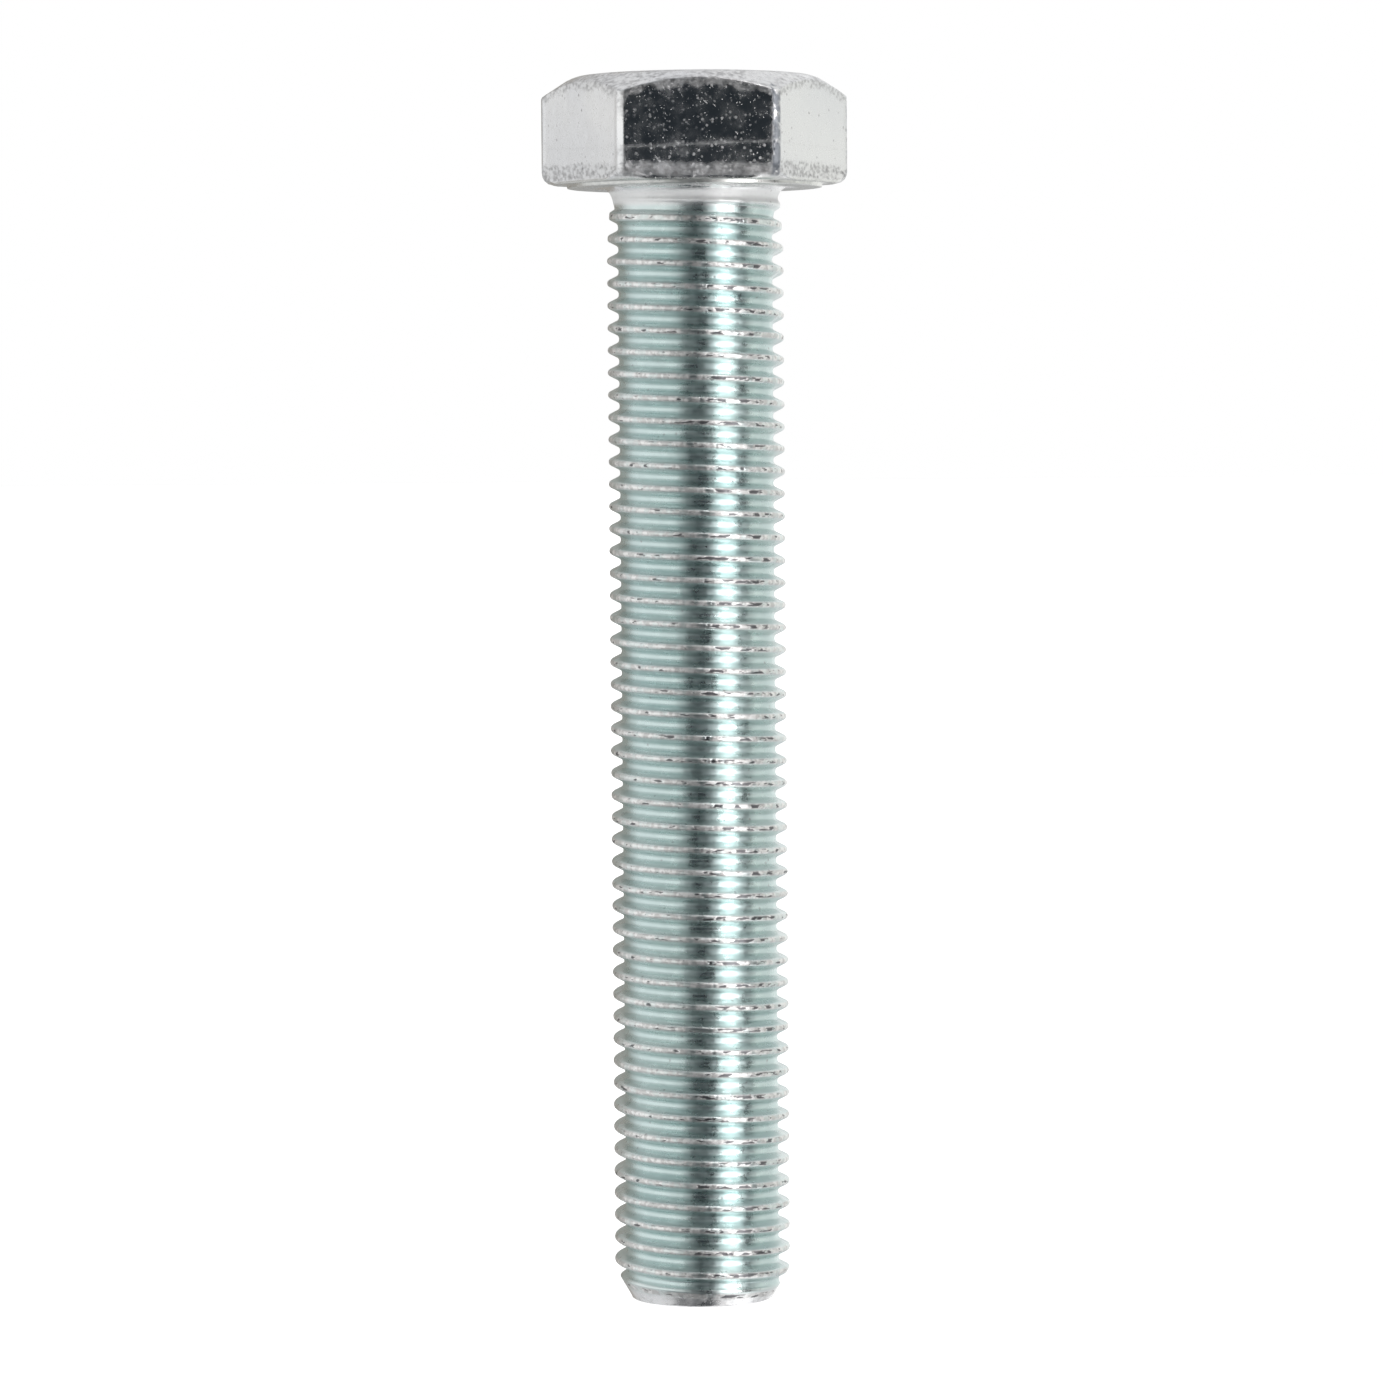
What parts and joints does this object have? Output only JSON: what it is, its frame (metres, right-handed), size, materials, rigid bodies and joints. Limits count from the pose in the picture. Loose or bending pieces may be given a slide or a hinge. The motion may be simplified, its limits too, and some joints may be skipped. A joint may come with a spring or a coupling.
{
  "type": "hex bolt",
  "caption": "Long hexagon-head bolt with a chamfered head, a round washer face under it and a coarse thread along the whole shank.",
  "frame": {"origin": "centre of the bearing face, the ring-shaped face under the head that clamps the work, on the bolt's axis", "axes": "+Z along the bolt's axis from the threaded end towards the head; +Y out of one wrench flat and +X out of a corner of the hexagon"},
  "size_m": [0.0274, 0.024, 0.11],
  "materials": {
    "zinc_plated_steel": "bright blue-white zinc plating over forged and thread-rolled steel"
  },
  "bodies": {
    "root": {"hex_bolt": "zinc_plated_steel"}
  },
  "joints": []
}
